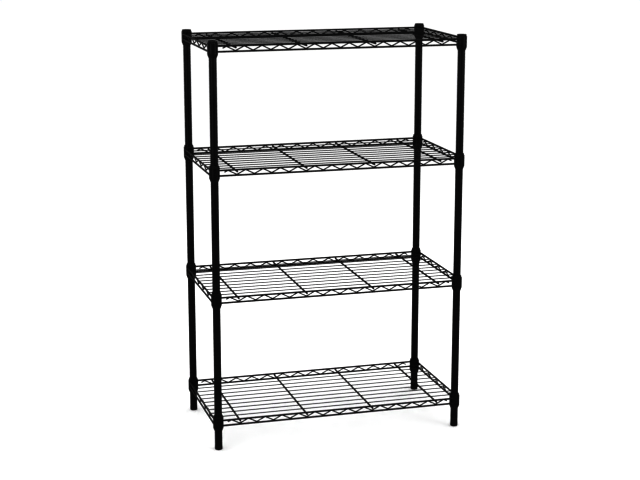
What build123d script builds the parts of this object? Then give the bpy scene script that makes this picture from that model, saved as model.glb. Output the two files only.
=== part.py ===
"""Four-tier wire shelving rack, 36 x 18 x 54 inches nominal, in millimetres.

Four grooved tube posts stand on screw-in levelling feet. Each shelf is a welded wire mat: a ladder truss
on every side, four cross rods and a row of deck wires, carried by a collar at each corner. Each collar
slides down the post and seats on a split plastic sleeve, which is locked into one of the post's grooves.

+Z is up and +X runs along the long side. The origin is on the floor, midway between the four feet.
"""

import os
from math import atan2, cos

from build123d import *

os.makedirs("parts", exist_ok=True)

# ---------------------------------------------------------------- driving dimensions
POST_SPAN_X = 858.0  # post axis to post axis, along the rack
POST_SPAN_Y = 426.0  # post axis to post axis, front to back
HALF_X = POST_SPAN_X / 2
HALF_Y = POST_SPAN_Y / 2

POST_RADIUS = 12.7
POST_WALL = 1.2
POST_BORE = POST_RADIUS - POST_WALL
POST_SECTION = 685.8  # a post is two such sections, end to end
POST_BOTTOM = 16.4
POST_SEAM = POST_BOTTOM + POST_SECTION
POST_TOP = POST_SEAM + POST_SECTION
GROOVE_PITCH = 25.4
GROOVE_COUNT = 27  # grooves in one section
GROOVE_DEPTH = 0.45
GROOVE_WIDTH = 1.8

SHELF_GROOVES = {"bottom": 3, "lower": 20, "upper": 37, "top": 53}  # groove that holds each shelf
GROOVE_TO_WIRE = 0.7  # from that groove up to the axis of the shelf's rim wire

FIT_GAP = 0.05  # all round, between pieces that are pressed, clipped or screwed together
STANDING = (Align.CENTER, Align.CENTER, Align.MIN)
CUT_THROUGH = 200.0  # longer than any piece that it cuts

COLLAR_RADIUS = 17.6
COLLAR_EDGE = 0.6
COLLAR_TOP = 9.0  # heights on a shelf are from the axis of its rim wire
COLLAR_BOTTOM = -26.5
COLLAR_BORE_TOP = 16.1
COLLAR_BORE_BOTTOM = 16.4
TAPER_START = -4.0  # the bore is straight up to here, then narrows to its top

RUNNING_GAP = 0.3  # between a collar and its sleeve
SLEEVE_BORE = POST_RADIUS + FIT_GAP
SLEEVE_TOP = 15.0
SLEEVE_BOTTOM = -38.5
SLEEVE_EDGE = 0.6
SKIRT_RADIUS = 17.3
SKIRT_HEIGHT = 1.5
TOE_RADIUS = 13.4
SLEEVE_SPLIT = 0.6  # gap between the two half shells
RIDGE_RADIUS = 12.35
RIDGE_WIDTH = 1.2

RIM_RADIUS = 3.0  # rim wires at the top and bottom of each truss
TRUSS_OFFSET = 12.5  # from the post axis out to the plane of the rim wires
TRUSS_HEIGHT = 18.3  # rim wire axis to rim wire axis
LACE_RADIUS = 2.0  # the zigzag wire between the rim wires
LACE_INSET = 2.4  # from a rim wire's axis to the lace's axis where they touch, in height
LACE_BEND = 6.0
LONG_PITCH = 59.2  # zigzag pitch on the long sides
LONG_CRESTS = 14
SHORT_PITCH = 80.0  # zigzag pitch on the short sides
SHORT_CRESTS = 5
HOOK_RUN = 12.5  # the lace's free end past its last crest
HOOK_DROP = 5.3

ROD_RADIUS = 3.0
ROD_PITCHES = (-6, -2, 2, 6)  # rod places, in zigzag pitches from the middle
DECK_RADIUS = 1.6
DECK_COUNT = 10
DECK_SPACING = 40.0

FOOT_HEIGHT = 16.0
FOOT_SOLE_RADIUS = 9.0
FOOT_ROUNDING = 4.0  # the quarter round from the sole up to the wall
FOOT_RADIUS = FOOT_SOLE_RADIUS + FOOT_ROUNDING
FOOT_SHOULDER = 10.0  # height from which the foot narrows to the post
STUD_RADIUS = 3.95
STUD_SEAT_GAP = 0.02
STUD_BASE = 5.0
STUD_TOP = 48.0
STUD_CHAMFER = 1.0
FOOT_INSERT_LENGTH = 28.0
INSERT_RADIUS = POST_BORE - FIT_GAP
FOOT_INSERT_BORE = STUD_RADIUS + FIT_GAP

JOINER_INSERT_LENGTH = 24.9
JOINER_RADIUS = 5.0
JOINER_LENGTH = 44.0
JOINER_CHAMFER = 0.8
JOINER_INSERT_BORE = JOINER_RADIUS + FIT_GAP
SEAM_GAP = 0.1  # between the two inserts at a seam

CAP_PLUG_LENGTH = 14.0
CAP_PLUG_CHAMFER = 1.0
CAP_RADIUS = 12.6
CAP_HEAD = 2.2
CAP_ROUNDING = 1.4

CORNERS = {
    "front_left": (-HALF_X, -HALF_Y),
    "front_right": (HALF_X, -HALF_Y),
    "back_left": (-HALF_X, HALF_Y),
    "back_right": (HALF_X, HALF_Y),
}

# ---------------------------------------------------------------- worked out from them
FIRST_GROOVE = POST_BOTTOM + GROOVE_PITCH / 2
SHELF_LEVELS = {
    tier: FIRST_GROOVE + groove * GROOVE_PITCH + GROOVE_TO_WIRE
    for tier, groove in SHELF_GROOVES.items()
}
RIM_X = HALF_X + TRUSS_OFFSET
RIM_Y = HALF_Y + TRUSS_OFFSET
LACE_STEP_IN = ((RIM_RADIUS + LACE_RADIUS) ** 2 - LACE_INSET**2) ** 0.5
ROD_DROP = RIM_RADIUS + ROD_RADIUS
DECK_DROP = ROD_DROP - ROD_RADIUS - DECK_RADIUS
SEAT_RADIUS = COLLAR_BORE_BOTTOM - RUNNING_GAP
LIP_RADIUS = COLLAR_BORE_TOP - RUNNING_GAP


def save(piece, name):
    """Label a finished piece and write its STEP file."""
    piece.part.label = name
    export_step(piece.part, f"parts/{name}.step")


def radial_plane(x, y):
    """The upright plane through the post at (x, y): its first axis is the radius, its second the height."""
    return Plane(origin=(x, y, 0), x_dir=(1, 0, 0), z_dir=(0, -1, 0))


# ---------------------------------------------------------------- posts
def grooved_outline(bottom):
    """Corner points of a post section's outer side, with its rolled grooves."""
    points = [(POST_BORE, bottom), (POST_RADIUS, bottom)]
    for index in range(GROOVE_COUNT):
        middle = bottom + (index + 0.5) * GROOVE_PITCH
        points += [
            (POST_RADIUS, middle - GROOVE_WIDTH / 2),
            (POST_RADIUS - GROOVE_DEPTH, middle - GROOVE_WIDTH / 4),
            (POST_RADIUS - GROOVE_DEPTH, middle + GROOVE_WIDTH / 4),
            (POST_RADIUS, middle + GROOVE_WIDTH / 2),
        ]
    points += [(POST_RADIUS, bottom + POST_SECTION), (POST_BORE, bottom + POST_SECTION)]
    return points


for corner, (x, y) in CORNERS.items():
    for half, bottom in (("lower", POST_BOTTOM), ("upper", POST_SEAM)):
        with BuildPart() as post:
            with BuildSketch(radial_plane(x, y)):
                with BuildLine():
                    Polyline(*grooved_outline(bottom), close=True)
                make_face()
            revolve(axis=Axis((x, y, 0), (0, 0, 1)))
        save(post, f"post_{half}_{corner}")

# A threaded insert is pressed into each side of the seam, and one stud pulls the two sections together.
with BuildPart() as joiner_inserts:
    with Locations(*[(x, y, 0) for x, y in CORNERS.values()]):
        for bottom in (POST_SEAM - SEAM_GAP - JOINER_INSERT_LENGTH, POST_SEAM):
            with Locations((0, 0, bottom)):
                Cylinder(INSERT_RADIUS, JOINER_INSERT_LENGTH, align=STANDING)
    with Locations(*[(x, y, POST_SEAM) for x, y in CORNERS.values()]):
        Cylinder(JOINER_INSERT_BORE, CUT_THROUGH, mode=Mode.SUBTRACT)
save(joiner_inserts, "post_joiner_inserts")

with BuildPart() as joiner_studs:
    with Locations(*[(x, y, POST_SEAM) for x, y in CORNERS.values()]):
        Cylinder(JOINER_RADIUS, JOINER_LENGTH)
    chamfer(joiner_studs.edges().filter_by(GeomType.CIRCLE), JOINER_CHAMFER)
save(joiner_studs, "post_joiner_studs")


# ---------------------------------------------------------------- caps, inserts and levelling feet
for corner, (x, y) in CORNERS.items():
    with BuildPart() as cap:
        with Locations((x, y, POST_TOP - CAP_PLUG_LENGTH)):
            Cylinder(INSERT_RADIUS, CAP_PLUG_LENGTH, align=STANDING)
        with Locations((x, y, POST_TOP)):
            Cylinder(CAP_RADIUS, CAP_HEAD, align=STANDING)
        fillet(cap.edges().group_by(Axis.Z)[-1], CAP_ROUNDING)
        chamfer(cap.edges().group_by(Axis.Z)[0], CAP_PLUG_CHAMFER)
    save(cap, f"cap_{corner}")

    with BuildPart() as foot:
        with BuildSketch(radial_plane(x, y)):
            with BuildLine():
                sole = Line((0, 0), (FOOT_SOLE_RADIUS, 0))
                side = TangentArc(sole @ 1, (FOOT_RADIUS, FOOT_ROUNDING), tangent=(1, 0))
                wall = Line(side @ 1, (FOOT_RADIUS, FOOT_SHOULDER))
                neck = Line(wall @ 1, (POST_RADIUS, FOOT_HEIGHT))
                Line(neck @ 1, (0, FOOT_HEIGHT))
                Line((0, FOOT_HEIGHT), (0, 0))
            make_face()
        revolve(axis=Axis((x, y, 0), (0, 0, 1)))
        with Locations((x, y, STUD_BASE)):
            Cylinder(STUD_RADIUS + STUD_SEAT_GAP, CUT_THROUGH, align=STANDING, mode=Mode.SUBTRACT)
    save(foot, f"foot_pad_{corner}")

    with BuildPart() as stud:
        with Locations((x, y, STUD_BASE)):
            Cylinder(STUD_RADIUS, STUD_TOP - STUD_BASE, align=STANDING)
        chamfer(stud.edges().group_by(Axis.Z)[-1], STUD_CHAMFER)
    save(stud, f"foot_stud_{corner}")

with BuildPart() as foot_inserts:
    with Locations(*[(x, y, POST_BOTTOM) for x, y in CORNERS.values()]):
        Cylinder(INSERT_RADIUS, FOOT_INSERT_LENGTH, align=STANDING)
        Cylinder(FOOT_INSERT_BORE, CUT_THROUGH, mode=Mode.SUBTRACT)
save(foot_inserts, "post_foot_inserts")


# ---------------------------------------------------------------- sleeves and collars
def ring_profiles(outline):
    """The (radius, height) outline as a face beside each post, paired with that post's axis."""
    profiles = []
    for x, y in CORNERS.values():
        with BuildSketch(radial_plane(x, y)) as profile:
            with BuildLine():
                Polyline(*outline, close=True)
            make_face()
        profiles.append((profile.sketch, Axis((x, y, 0), (0, 0, 1))))
    return profiles


def sleeve_outline(level):
    """Lip, tapered seat, wide skirt that the collar stops on, and the ridge for the post's groove."""
    ridge = level - GROOVE_TO_WIRE
    skirt = level + COLLAR_BOTTOM - RUNNING_GAP
    return [
        (SLEEVE_BORE, level + SLEEVE_BOTTOM),
        (TOE_RADIUS, level + SLEEVE_BOTTOM),
        (SKIRT_RADIUS, skirt - SKIRT_HEIGHT),
        (SKIRT_RADIUS, skirt),
        (SEAT_RADIUS, skirt),
        (SEAT_RADIUS, level + TAPER_START),
        (LIP_RADIUS, level + COLLAR_TOP),
        (LIP_RADIUS, level + SLEEVE_TOP - SLEEVE_EDGE),
        (LIP_RADIUS - SLEEVE_EDGE, level + SLEEVE_TOP),
        (SLEEVE_BORE, level + SLEEVE_TOP),
        (SLEEVE_BORE, ridge + RIDGE_WIDTH / 2),
        (RIDGE_RADIUS, ridge + RIDGE_WIDTH / 4),
        (RIDGE_RADIUS, ridge - RIDGE_WIDTH / 4),
        (SLEEVE_BORE, ridge - RIDGE_WIDTH / 2),
    ]


def make_sleeves(tier, level):
    """Two half shells at each corner, split by a plane along X."""
    profiles = ring_profiles(sleeve_outline(level))
    with BuildPart() as sleeves:
        for profile, axis in profiles:
            revolve(profile, axis=axis)
        for y in (-HALF_Y, HALF_Y):
            with Locations((0, y, level)):
                Box(2 * POST_SPAN_X, SLEEVE_SPLIT, CUT_THROUGH, mode=Mode.SUBTRACT)
    save(sleeves, f"{tier}_shelf_sleeves")


def make_collars(tier, level):
    """A steel collar at each corner, with a bore that narrows at the top and softened outer edges."""
    outline = [
        (COLLAR_BORE_BOTTOM, level + COLLAR_BOTTOM),
        (COLLAR_RADIUS - COLLAR_EDGE, level + COLLAR_BOTTOM),
        (COLLAR_RADIUS, level + COLLAR_BOTTOM + COLLAR_EDGE),
        (COLLAR_RADIUS, level + COLLAR_TOP - COLLAR_EDGE),
        (COLLAR_RADIUS - COLLAR_EDGE, level + COLLAR_TOP),
        (COLLAR_BORE_TOP, level + COLLAR_TOP),
        (COLLAR_BORE_BOTTOM, level + TAPER_START),
    ]
    profiles = ring_profiles(outline)
    with BuildPart() as collars:
        for profile, axis in profiles:
            revolve(profile, axis=axis)
    save(collars, f"{tier}_shelf_collars")


# ---------------------------------------------------------------- shelf trusses, rods and deck
def lace_points(pitch, crests, level):
    """Corner points of a zigzag, from hooked end to hooked end, as (distance along the side, height)."""
    crest = level - LACE_INSET
    root = level - TRUSS_HEIGHT + LACE_INSET
    slope = atan2(crest - root, pitch / 2)
    rounding = LACE_BEND * (1 / cos(slope) - 1)  # a bend passes this far inside its corner
    last = (crests - 1) / 2 * pitch
    points = [(-last - HOOK_RUN, crest - HOOK_DROP)]
    for index in range(2 * crests - 1):
        height = root - rounding if index % 2 else crest + rounding
        points.append((-last + index * pitch / 2, height))
    points.append((last + HOOK_RUN, crest - HOOK_DROP))
    return points


def make_truss(tier, side, level):
    """Two rim wires and the zigzag laced against their inner sides, coped to the corner collars."""
    long_side = side in ("front", "back")
    sign = -1 if side in ("front", "left") else 1
    if long_side:
        reach, pitch, crests = HALF_X, LONG_PITCH, LONG_CRESTS
        rim_place = sign * RIM_Y
        wire_plane = Plane.YZ.offset(-reach)
        lace_plane = Plane.XZ.offset(sign * LACE_STEP_IN - rim_place)
    else:
        reach, pitch, crests = HALF_Y, SHORT_PITCH, SHORT_CRESTS
        rim_place = sign * RIM_X
        wire_plane = Plane.XZ.offset(-reach)
        lace_plane = Plane.YZ.offset(rim_place - sign * LACE_STEP_IN)
    with BuildPart() as truss:
        with BuildSketch(wire_plane):
            with Locations((rim_place, level), (rim_place, level - TRUSS_HEIGHT)):
                Circle(RIM_RADIUS)
        extrude(amount=2 * reach)
        with Locations(*[(x, y, level) for x, y in CORNERS.values()]):
            Cylinder(COLLAR_RADIUS, CUT_THROUGH, mode=Mode.SUBTRACT)
        with BuildLine(lace_plane) as lace:
            FilletPolyline(*lace_points(pitch, crests, level), radius=LACE_BEND)
        with BuildSketch(Plane(origin=lace.line @ 0, z_dir=lace.line % 0)):
            Circle(LACE_RADIUS)
        sweep(path=lace.line)
    save(truss, f"{tier}_shelf_{side}_truss")


def make_cross_rods(tier, level):
    """Heavy rods from the front rim wire to the back one, just under them."""
    reach = RIM_Y + RIM_RADIUS
    places = [(count * LONG_PITCH, level - ROD_DROP) for count in ROD_PITCHES]
    with BuildPart() as rods:
        with BuildSketch(Plane.XZ.offset(-reach)):
            with Locations(*places):
                Circle(ROD_RADIUS)
        extrude(amount=2 * reach)
    save(rods, f"{tier}_shelf_cross_rods")


def make_deck_wires(tier, level):
    """Thin wires along the shelf, on top of the rods and between the side rim wires."""
    reach = RIM_X - RIM_RADIUS
    first = -(DECK_COUNT - 1) / 2 * DECK_SPACING
    places = [(first + index * DECK_SPACING, level - DECK_DROP) for index in range(DECK_COUNT)]
    with BuildPart() as deck:
        with BuildSketch(Plane.YZ.offset(-reach)):
            with Locations(*places):
                Circle(DECK_RADIUS)
        extrude(amount=2 * reach)
    save(deck, f"{tier}_shelf_deck_wires")


for tier, level in SHELF_LEVELS.items():
    make_sleeves(tier, level)
    make_collars(tier, level)
    for side in ("front", "back", "left", "right"):
        make_truss(tier, side, level)
    make_cross_rods(tier, level)
    make_deck_wires(tier, level)
    print(f"{tier} shelf: rim wire at z = {level:.1f} mm")
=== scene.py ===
"""Looks of a black four-tier wire shelving rack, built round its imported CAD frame.

Lengths are in metres. The CAD nodes keep their shapes and get procedural finishes. New meshes
add the welds at the wires' crossings and the threads of the levelling studs.
"""

import math
import random

import bmesh
import bpy
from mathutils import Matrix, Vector, noise


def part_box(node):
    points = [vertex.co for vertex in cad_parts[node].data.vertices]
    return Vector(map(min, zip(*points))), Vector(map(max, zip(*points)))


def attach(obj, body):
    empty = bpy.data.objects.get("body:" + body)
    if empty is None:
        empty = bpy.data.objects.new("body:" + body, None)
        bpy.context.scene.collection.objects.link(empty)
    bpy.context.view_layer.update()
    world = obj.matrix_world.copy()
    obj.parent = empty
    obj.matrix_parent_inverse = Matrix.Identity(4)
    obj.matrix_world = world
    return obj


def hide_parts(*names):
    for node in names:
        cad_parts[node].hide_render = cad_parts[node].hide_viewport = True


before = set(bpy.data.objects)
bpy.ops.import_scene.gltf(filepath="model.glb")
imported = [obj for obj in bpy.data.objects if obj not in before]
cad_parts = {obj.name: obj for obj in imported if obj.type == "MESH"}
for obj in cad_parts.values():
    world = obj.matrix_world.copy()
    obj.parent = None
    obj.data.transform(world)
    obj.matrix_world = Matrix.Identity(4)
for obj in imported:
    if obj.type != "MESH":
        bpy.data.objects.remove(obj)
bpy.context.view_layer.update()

TIERS = ("bottom", "lower", "upper", "top")
CORNERS = ("front_left", "front_right", "back_left", "back_right")

# ---------------------------------------------------------------- the rack's wires, as in the CAD
RIM_RADIUS = 0.003
LACE_RADIUS = 0.002
LACE_INSET = 0.0024
TRUSS_HEIGHT = 0.0183
LONG_PITCH = 0.0592
LONG_CRESTS = 14
SHORT_PITCH = 0.080
SHORT_CRESTS = 5
ROD_PITCHES = (-6, -2, 2, 6)
DECK_RADIUS = 0.0016
DECK_COUNT = 10
DECK_SPACING = 0.040
COLLAR_RADIUS = 0.0176

# ---------------------------------------------------------------- camera, light and stage
CAMERA_PLACE = (-1.4722, -5.0856, 1.8803)
CAMERA_YAW = 0.2805  # to the right of straight ahead, in radians
CAMERA_PITCH = 0.2266  # below level, in radians
CAMERA_LENS = 86.56  # mm
CAMERA_REACH = 200.0
SENSOR_WIDTH = 36.0  # mm

FLOOR_RADIUS = 80.0
FLOOR_SIDES = 128
# the photograph's hard contrast: thin dark wires stay as wide as they are, and black stays black
CONTRAST_GAMMA = 0.5
STUDIO_WHITE = 1.14  # how bright the studio looks, and how much it lights
STUDIO_GLOSS = 0.24  # how bright it is in reflections, where dark flags stand round the object

# place, what it points at, width, height, brightness of each soft box
SOFT_BOXES = {
    "box_left": ((-3.4, -2.6, 1.7), (0, 0, 0.8), 0.9, 2.6, 3.0),
    "box_right": ((3.0, -3.2, 1.9), (0, 0, 0.8), 0.8, 2.6, 4.4),
    "box_back_left": ((-2.8, 3.2, 1.8), (0, 0, 0.8), 0.9, 2.6, 3.0),
    "box_back_right": ((3.2, 2.8, 1.8), (0, 0, 0.8), 0.9, 2.6, 3.0),
    "box_above": ((0.0, -0.4, 3.6), (0, 0, 0.7), 2.4, 1.4, 2.0),
}

# ---------------------------------------------------------------- finishes, in lumps per metre
COAT_CLOUD = 22.0
COAT_GRAIN = 5200.0
COAT_GLOSS = 64.0
PLATE_CLOUD = 120.0
PAPER_FIBRE = 900.0
MOULDING_FLOW = (90.0, 90.0, 24.0)
TURNING_MARKS = (60.0, 60.0, 5200.0)
POST_SCUFFS = (700.0, 700.0, 9.0)
COAT_TONES = (0.32, 0.52, 0.72)  # where the dark, middle and light colours lie along the clouds
GRAIN_TONE = 0.06  # how far the grain shifts that place
SCUFF_GLOSS = 0.12  # roughness that the scuffs add
SCUFF_RANGE = (0.58, 0.72)  # the part of the pattern that counts as a scuff
MOULDING_TONES = (0.35, 0.7)
MOULDING_GRAIN = 0.1
CELL_SHARE = 0.7  # cells per lump of the moulding's grain
TURNING_DEPTH = 0.00002

# ---------------------------------------------------------------- welds
# half sizes of a weld: across the line between the wires, along the first wire, and the third way
LACE_WELD = (0.0011, 0.0031, 0.0016)
ROD_WELD = (0.0012, 0.0026, 0.0022)
DECK_WELD = (0.0010, 0.0021, 0.0015)
DECK_END_WELD = (0.0010, 0.0024, 0.0020)
NUGGET_ROUGHNESS = 0.16  # how far a weld's surface strays from an ellipsoid, as a share of its size
NUGGET_GRAIN = 900.0  # lumps per metre on it
NUGGET_SPREAD = (0.88, 1.12)  # smallest and largest weld, as a share of its nominal size
NOISE_REACH = 50  # how far apart the welds' patterns are drawn from
BALL_SUBDIVISIONS = 2
BEAD_RADIUS = 0.00085
BEAD_ROUGHNESS = 0.22
BEAD_LUMPS = 1.7  # radius of the ring on which a bead's noise is read
BEAD_SIDE_STEP = 0.4  # the noise's step from one side of a bead to the next
BEAD_SIDES = 8
BEAD_STEPS = 24

# ---------------------------------------------------------------- levelling studs
THREAD_PITCH = 0.00125
THREAD_CREST = 0.00393
THREAD_ROOT = 0.00325
THREAD_RINGS = 8  # rings of points in one pitch
THREAD_SIDES = 28
THREAD_LEAD = 0.0012  # the cone at each end
# shares of one pitch at which the crest ends, the root starts and the root ends
CREST_END = 0.15
ROOT_START = 0.5
ROOT_END = 0.65


# ================================================================ finishes
def start_finish(name, roughness, specular=0.5, metallic=0.0):
    """A new material with one principled shader, its node tree and its coordinates."""
    material = bpy.data.materials.new(name)
    material.use_nodes = True
    tree = material.node_tree
    tree.nodes.clear()
    output = tree.nodes.new("ShaderNodeOutputMaterial")
    shader = tree.nodes.new("ShaderNodeBsdfPrincipled")
    shader.inputs["Roughness"].default_value = roughness
    shader.inputs["Specular IOR Level"].default_value = specular
    shader.inputs["Metallic"].default_value = metallic
    tree.links.new(shader.outputs["BSDF"], output.inputs["Surface"])
    place = tree.nodes.new("ShaderNodeTexCoord")
    return material, tree, shader, place.outputs["Object"]


def add_noise(tree, place, scale, detail=2.0, stretch=None):
    """A noise pattern with `scale` lumps per metre, drawn out along an axis if stretch says so."""
    if stretch:
        mapping = tree.nodes.new("ShaderNodeMapping")
        mapping.inputs["Scale"].default_value = stretch
        tree.links.new(place, mapping.inputs["Vector"])
        place = mapping.outputs["Vector"]
    pattern = tree.nodes.new("ShaderNodeTexNoise")
    pattern.inputs["Scale"].default_value = scale
    pattern.inputs["Detail"].default_value = detail
    tree.links.new(place, pattern.inputs["Vector"])
    return pattern.outputs["Fac"]


def add_range(tree, source, low, high, start=0.3, end=0.7):
    """Maps a pattern's start..end to low..high."""
    scaled = tree.nodes.new("ShaderNodeMapRange")
    scaled.inputs["From Min"].default_value = start
    scaled.inputs["From Max"].default_value = end
    scaled.inputs["To Min"].default_value = low
    scaled.inputs["To Max"].default_value = high
    tree.links.new(source, scaled.inputs["Value"])
    return scaled.outputs["Result"]


def add_sum(tree, first, second, operation="ADD"):
    """Two patterns added, or joined by another operation."""
    node = tree.nodes.new("ShaderNodeMath")
    node.operation = operation
    tree.links.new(first, node.inputs[0])
    tree.links.new(second, node.inputs[1])
    return node.outputs["Value"]


def add_colours(tree, source, *stops):
    """Colours along a pattern, from (position, (r, g, b)) pairs."""
    ramp = tree.nodes.new("ShaderNodeValToRGB")
    elements = ramp.color_ramp.elements
    while len(elements) < len(stops):
        elements.new(0.5)
    for element, (position, colour) in zip(elements, stops):
        element.position = position
        element.color = (*colour, 1.0)
    tree.links.new(source, ramp.inputs["Fac"])
    return ramp.outputs["Color"]


def add_bumps(tree, shader, *layers):
    """Stacks (pattern, strength, height in metres) layers of relief on the shader's normal."""
    normal = None
    for pattern, strength, height in layers:
        bump = tree.nodes.new("ShaderNodeBump")
        bump.inputs["Strength"].default_value = strength
        bump.inputs["Distance"].default_value = height
        tree.links.new(pattern, bump.inputs["Height"])
        if normal:
            tree.links.new(normal, bump.inputs["Normal"])
        normal = bump.outputs["Normal"]
    tree.links.new(normal, shader.inputs["Normal"])


def powder_coat(name, dark, light, peel_scale, peel_height, gloss, scuff_stretch=None):
    """Satin black powder coat: orange peel, fine grain, cloudy gloss, and scuffs if asked for."""
    material, tree, shader, place = start_finish(name, roughness=sum(gloss) / 2)
    cloud = add_noise(tree, place, COAT_CLOUD, 3.0)
    peel = add_noise(tree, place, peel_scale, 1.5)
    grain = add_noise(tree, place, COAT_GRAIN, 2.0)
    roughness = add_range(tree, add_noise(tree, place, COAT_GLOSS, 4.0), *gloss)
    if scuff_stretch:
        scuffs = add_noise(tree, place, 1.0, 3.0, scuff_stretch)
        worn = add_range(tree, scuffs, 0.0, SCUFF_GLOSS, *SCUFF_RANGE)
        roughness = add_sum(tree, roughness, worn)
    tree.links.new(roughness, shader.inputs["Roughness"])
    tone = add_sum(tree, cloud, add_range(tree, grain, -GRAIN_TONE, GRAIN_TONE))
    middle = tuple((a + b) / 2 for a, b in zip(dark, light))
    colour = add_colours(tree, tone, *zip(COAT_TONES, (dark, middle, light)))
    tree.links.new(colour, shader.inputs["Base Color"])
    add_bumps(tree, shader, (peel, 0.5, peel_height), (grain, 0.25, peel_height / 5))
    return material


def moulded_plastic(name, dark, light, grain_scale, grain_height, gloss):
    """Moulded black plastic: a fine spark-eroded grain, flow marks, and polished high spots."""
    material, tree, shader, place = start_finish(name, roughness=sum(gloss) / 2)
    flow = add_noise(tree, place, 1.0, 4.0, MOULDING_FLOW)
    grain = add_noise(tree, place, grain_scale, 2.5)
    cells = tree.nodes.new("ShaderNodeTexVoronoi")
    cells.inputs["Scale"].default_value = grain_scale * CELL_SHARE
    tree.links.new(place, cells.inputs["Vector"])
    texture = add_sum(tree, grain, cells.outputs["Distance"], "MULTIPLY")
    speckle = add_range(tree, grain, -MOULDING_GRAIN, MOULDING_GRAIN)
    roughness = add_range(tree, add_sum(tree, flow, speckle), *gloss)
    tree.links.new(roughness, shader.inputs["Roughness"])
    colour = add_colours(tree, flow, *zip(MOULDING_TONES, (dark, light)))
    tree.links.new(colour, shader.inputs["Base Color"])
    add_bumps(tree, shader, (texture, 0.6, grain_height), (flow, 0.15, grain_height))
    return material


def zinc_plate(name):
    """Bright zinc plate: cloudy blue-white to straw passivation, and fine turning marks."""
    material, tree, shader, place = start_finish(name, roughness=0.3, metallic=1.0)
    cloud = add_noise(tree, place, PLATE_CLOUD, 4.0)
    turned = add_noise(tree, place, 1.0, 2.0, TURNING_MARKS)
    roughness = add_range(tree, add_sum(tree, cloud, turned, "MULTIPLY"), 0.22, 0.42, 0.1, 0.45)
    tree.links.new(roughness, shader.inputs["Roughness"])
    colour = add_colours(
        tree,
        cloud,
        (0.3, (0.50, 0.52, 0.55)),
        (0.55, (0.62, 0.62, 0.60)),
        (0.75, (0.66, 0.62, 0.50)),
    )
    tree.links.new(colour, shader.inputs["Base Color"])
    add_bumps(tree, shader, (turned, 0.3, TURNING_DEPTH))
    return material


FINISHES = {
    "post_steel": powder_coat(
        "post_coat",
        (0.0075, 0.0075, 0.0080),
        (0.0125, 0.0125, 0.0132),
        1100.0, 0.00006, (0.30, 0.42),
        scuff_stretch=POST_SCUFFS,
    ),
    "wire_steel": powder_coat(
        "wire_coat",
        (0.0080, 0.0080, 0.0085),
        (0.0135, 0.0135, 0.0142),
        1500.0, 0.00005, (0.34, 0.48),
    ),
    "collar_steel": powder_coat(
        "collar_coat",
        (0.0075, 0.0075, 0.0079),
        (0.0120, 0.0120, 0.0126),
        900.0, 0.00008, (0.34, 0.46),
    ),
    "sleeve_plastic": moulded_plastic(
        "sleeve_moulding",
        (0.0095, 0.0095, 0.0100),
        (0.0160, 0.0160, 0.0168),
        2600.0, 0.00005, (0.46, 0.60),
    ),
    "cap_plastic": moulded_plastic(
        "cap_moulding",
        (0.0090, 0.0090, 0.0095),
        (0.0150, 0.0150, 0.0158),
        3000.0, 0.00004, (0.42, 0.56),
    ),
    "foot_plastic": moulded_plastic(
        "foot_moulding",
        (0.0105, 0.0105, 0.0110),
        (0.0180, 0.0180, 0.0186),
        2200.0, 0.00006, (0.52, 0.66),
    ),
    "insert_plastic": moulded_plastic(
        "insert_moulding",
        (0.030, 0.030, 0.031),
        (0.046, 0.046, 0.048),
        2400.0, 0.00005, (0.48, 0.60),
    ),
    "zinc_steel": zinc_plate("zinc_plate"),
}

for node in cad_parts.values():
    for place in node.material_slots:
        place.material = FINISHES[place.material.name.split(".")[0]]


# ================================================================ new pieces
def new_piece(name, points, faces, slot):
    """A smooth-shaded mesh with the finish of a material slot."""
    mesh = bpy.data.meshes.new(name)
    mesh.from_pydata(points, [], faces)
    mesh.shade_smooth()
    mesh.materials.append(FINISHES[slot])
    piece = bpy.data.objects.new(name, mesh)
    bpy.context.scene.collection.objects.link(piece)
    return piece


def unit_ball():
    """Points and faces of a round ball of radius 1."""
    ball = bmesh.new()
    bmesh.ops.create_icosphere(ball, subdivisions=BALL_SUBDIVISIONS, radius=1.0)
    points = [point.co.copy() for point in ball.verts]
    faces = [[point.index for point in face.verts] for face in ball.faces]
    ball.free()
    return points, faces


BALL_POINTS, BALL_FACES = unit_ball()


def add_nugget(points, faces, centre, across, along, sizes, chance):
    """A lumpy weld at a crossing, flat across the line between the wires, long along the first."""
    across, along = Vector(across).normalized(), Vector(along).normalized()
    side = across.cross(along)
    shift = Vector([chance.uniform(0, NOISE_REACH) for _ in range(3)])
    grow = chance.uniform(*NUGGET_SPREAD)
    first = len(points)
    for point in BALL_POINTS:
        place = across * point.x * sizes[0] + along * point.y * sizes[1]
        place += side * point.z * sizes[2]
        lump = 1 + NUGGET_ROUGHNESS * noise.noise(place * NUGGET_GRAIN + shift)
        points.append(Vector(centre) + place * grow * lump)
    faces.extend([first + index for index in face] for face in BALL_FACES)


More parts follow.
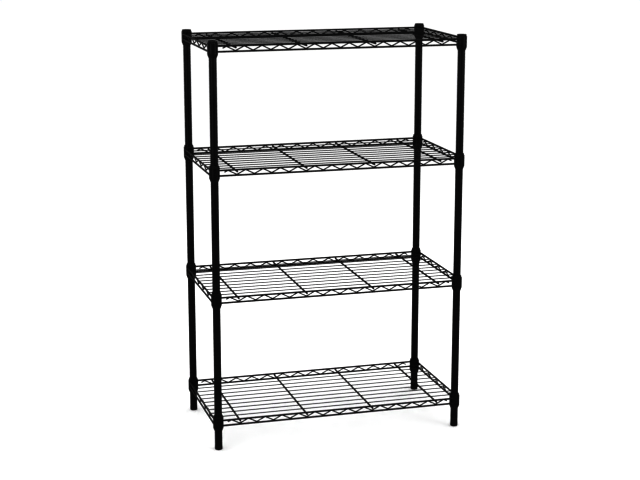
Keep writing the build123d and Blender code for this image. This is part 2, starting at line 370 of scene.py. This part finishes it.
def add_bead(points, faces, post, run, out, level, gap, chance):
    """A weld bead where a rim wire meets a collar, along the curve in which the two surfaces cross.

    run points from the collar along the wire, and out from the post to the wire, gap away.
    """
    shift = chance.uniform(0, NOISE_REACH)
    first = len(points)
    for step in range(BEAD_STEPS):
        turn = 2 * math.pi * step / BEAD_STEPS
        sideways = gap + RIM_RADIUS * math.cos(turn)
        reach = math.sqrt(COLLAR_RADIUS**2 - sideways**2)
        spine = Vector((*post, level)) + run * reach + out * sideways
        spine.z += RIM_RADIUS * math.sin(turn)
        away = out * math.cos(turn) + Vector((0, 0, math.sin(turn)))
        for side in range(BEAD_SIDES):
            angle = 2 * math.pi * side / BEAD_SIDES
            ring = (BEAD_LUMPS * math.cos(turn), BEAD_LUMPS * math.sin(turn))
            read = Vector((shift + ring[0], ring[1], BEAD_SIDE_STEP * side))
            radius = BEAD_RADIUS * (1 + BEAD_ROUGHNESS * noise.noise(read))
            points.append(spine + (away * math.cos(angle) + run * math.sin(angle)) * radius)
    for step in range(BEAD_STEPS):
        for side in range(BEAD_SIDES):
            here = first + step * BEAD_SIDES
            there = first + (step + 1) % BEAD_STEPS * BEAD_SIDES
            after = (side + 1) % BEAD_SIDES
            faces.append([here + side, there + side, there + after, here + after])


def shelf_welds(tier, chance):
    """All the welds of one shelf, as points and faces."""
    points, faces = [], []
    front_low, front_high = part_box(f"{tier}_shelf_front_truss")
    left_low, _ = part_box(f"{tier}_shelf_left_truss")
    level = front_high.z - RIM_RADIUS
    rim_x = -left_low.x - RIM_RADIUS
    rim_y = -front_low.y - RIM_RADIUS
    step_in = math.sqrt((RIM_RADIUS + LACE_RADIUS) ** 2 - LACE_INSET**2)
    right, back, up = Vector((1, 0, 0)), Vector((0, 1, 0)), Vector((0, 0, 1))

    # the zigzag against the rim wires, at its crests and roots
    for pitch, crests, run, outward, rim in (
        (LONG_PITCH, LONG_CRESTS, right, -back, rim_y),
        (LONG_PITCH, LONG_CRESTS, right, back, rim_y),
        (SHORT_PITCH, SHORT_CRESTS, back, -right, rim_x),
        (SHORT_PITCH, SHORT_CRESTS, back, right, rim_x),
    ):
        last = (crests - 1) / 2 * pitch
        for index in range(2 * crests - 1):
            root = index % 2
            axis = outward * rim + run * (index * pitch / 2 - last)
            axis += up * (level - TRUSS_HEIGHT * root)
            inset = up * (LACE_INSET if root else -LACE_INSET)
            towards = (inset - outward * step_in).normalized()
            centre = axis + towards * RIM_RADIUS
            add_nugget(points, faces, centre, towards, run, LACE_WELD, chance)

    # the cross rods under the long rim wires, and the deck wires on the rods
    rods = [count * LONG_PITCH for count in ROD_PITCHES]
    deck = [(index - (DECK_COUNT - 1) / 2) * DECK_SPACING for index in range(DECK_COUNT)]
    for x in rods:
        for y in (-rim_y, rim_y):
            add_nugget(points, faces, (x, y, level - RIM_RADIUS), up, right, ROD_WELD, chance)
        for y in deck:
            add_nugget(points, faces, (x, y, level - RIM_RADIUS), up, right, DECK_WELD, chance)

    # the deck wires' ends against the short rim wires
    for side in (-1, 1):
        for y in deck:
            end = (side * (rim_x - RIM_RADIUS), y, level - RIM_RADIUS + DECK_RADIUS)
            add_nugget(points, faces, end, right, back, DECK_END_WELD, chance)

    # the rim wires' ends against the collars
    for corner in CORNERS:
        low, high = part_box(f"post_lower_{corner}")
        post = ((low.x + high.x) / 2, (low.y + high.y) / 2)
        to_middle_x = -right if post[0] > 0 else right
        to_middle_y = -back if post[1] > 0 else back
        gap_y, gap_x = rim_y - abs(post[1]), rim_x - abs(post[0])
        for height in (level, level - TRUSS_HEIGHT):
            add_bead(points, faces, post, to_middle_x, -to_middle_y, height, gap_y, chance)
            add_bead(points, faces, post, to_middle_y, -to_middle_x, height, gap_x, chance)
    return points, faces


for tier in TIERS:
    weld_points, weld_faces = shelf_welds(tier, random.Random(tier))
    welds = new_piece(f"{tier}_shelf_welds", weld_points, weld_faces, "wire_steel")
    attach(welds, f"{tier}_shelf")


def thread_radius(phase):
    """Radius of a screw thread at a share of its pitch: crest, flank, root, flank."""
    phase %= 1.0
    depth = THREAD_CREST - THREAD_ROOT
    if phase < CREST_END:
        return THREAD_CREST
    if phase < ROOT_START:
        return THREAD_CREST - depth * (phase - CREST_END) / (ROOT_START - CREST_END)
    if phase < ROOT_END:
        return THREAD_ROOT
    return THREAD_ROOT + depth * (phase - ROOT_END) / (1 - ROOT_END)


def threaded_stud(low, high):
    """Points and faces of a screw that fills the box from low to high."""
    x, y = (low.x + high.x) / 2, (low.y + high.y) / 2
    length = high.z - low.z
    rings = round(length / THREAD_PITCH * THREAD_RINGS)
    points = []
    for ring in range(rings + 1):
        height = length * ring / rings
        cone = THREAD_ROOT - THREAD_LEAD / 2 + min(height, length - height)
        for side in range(THREAD_SIDES):
            share = side / THREAD_SIDES
            radius = min(thread_radius(height / THREAD_PITCH - share), cone)
            turn = 2 * math.pi * share
            reach_x, reach_y = radius * math.cos(turn), radius * math.sin(turn)
            points.append((x + reach_x, y + reach_y, low.z + height))
    bottom = list(range(THREAD_SIDES))
    top = [rings * THREAD_SIDES + side for side in bottom]
    faces = [bottom[::-1], top]
    for ring in range(rings):
        for side in range(THREAD_SIDES):
            here, after = ring * THREAD_SIDES, (side + 1) % THREAD_SIDES
            above = here + THREAD_SIDES
            faces.append([here + side, here + after, above + after, above + side])
    return points, faces


for corner in CORNERS:
    thread_points, thread_faces = threaded_stud(*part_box(f"foot_stud_{corner}"))
    screw = new_piece(f"foot_thread_{corner}", thread_points, thread_faces, "zinc_steel")
    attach(screw, f"foot_{corner}")
    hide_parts(f"foot_stud_{corner}")


# ================================================================ stage, light and camera
def floor_finish():
    """Matt white paper, with a faint fibre grain."""
    material, tree, shader, place = start_finish("studio_paper", roughness=0.95, specular=0.1)
    fibre = add_noise(tree, place, PAPER_FIBRE, 3.0)
    colour = add_colours(tree, fibre, (0.3, (0.90, 0.90, 0.90)), (0.7, (0.93, 0.93, 0.93)))
    tree.links.new(colour, shader.inputs["Base Color"])
    return material


floor_mesh = bpy.data.meshes.new("studio_floor")
floor_turns = [2 * math.pi * side / FLOOR_SIDES for side in range(FLOOR_SIDES)]
rim_points = [
    (FLOOR_RADIUS * math.cos(turn), FLOOR_RADIUS * math.sin(turn), 0) for turn in floor_turns
]
floor_mesh.from_pydata(rim_points, [], [list(range(FLOOR_SIDES))])
floor_mesh.materials.append(floor_finish())
floor = bpy.data.objects.new("studio_floor", floor_mesh)
bpy.context.scene.collection.objects.link(floor)
floor.visible_glossy = False

world = bpy.data.worlds.new("studio")
bpy.context.scene.world = world
world.use_nodes = True
world_nodes, world_links = world.node_tree.nodes, world.node_tree.links
world_nodes.clear()
bright, dim = world_nodes.new("ShaderNodeBackground"), world_nodes.new("ShaderNodeBackground")
bright.inputs["Strength"].default_value = STUDIO_WHITE
dim.inputs["Strength"].default_value = STUDIO_GLOSS
for background in (bright, dim):
    background.inputs["Color"].default_value = (1, 1, 1, 1)
ray = world_nodes.new("ShaderNodeLightPath")
blend = world_nodes.new("ShaderNodeMixShader")
world_output = world_nodes.new("ShaderNodeOutputWorld")
world_links.new(ray.outputs["Is Glossy Ray"], blend.inputs["Fac"])
world_links.new(bright.outputs["Background"], blend.inputs[1])
world_links.new(dim.outputs["Background"], blend.inputs[2])
world_links.new(blend.outputs["Shader"], world_output.inputs["Surface"])

for name, (place, target, width, height, brightness) in SOFT_BOXES.items():
    lamp = bpy.data.lights.new(name, "AREA")
    lamp.shape = "RECTANGLE"
    lamp.size, lamp.size_y = width, height
    lamp.energy = brightness * math.pi * width * height
    box = bpy.data.objects.new(name, lamp)
    box.location = place
    box.rotation_euler = (Vector(target) - Vector(place)).to_track_quat("-Z", "Y").to_euler()
    box.visible_camera = False
    bpy.context.scene.collection.objects.link(box)

lens = bpy.data.cameras.new("camera")
lens.lens = CAMERA_LENS
lens.sensor_width = SENSOR_WIDTH
lens.clip_end = CAMERA_REACH
camera = bpy.data.objects.new("camera", lens)
camera.location = CAMERA_PLACE
camera.rotation_euler = (math.pi / 2 - CAMERA_PITCH, 0.0, -CAMERA_YAW)
bpy.context.scene.collection.objects.link(camera)
bpy.context.scene.camera = camera
bpy.context.scene.view_settings.view_transform = "Standard"
bpy.context.scene.view_settings.gamma = CONTRAST_GAMMA
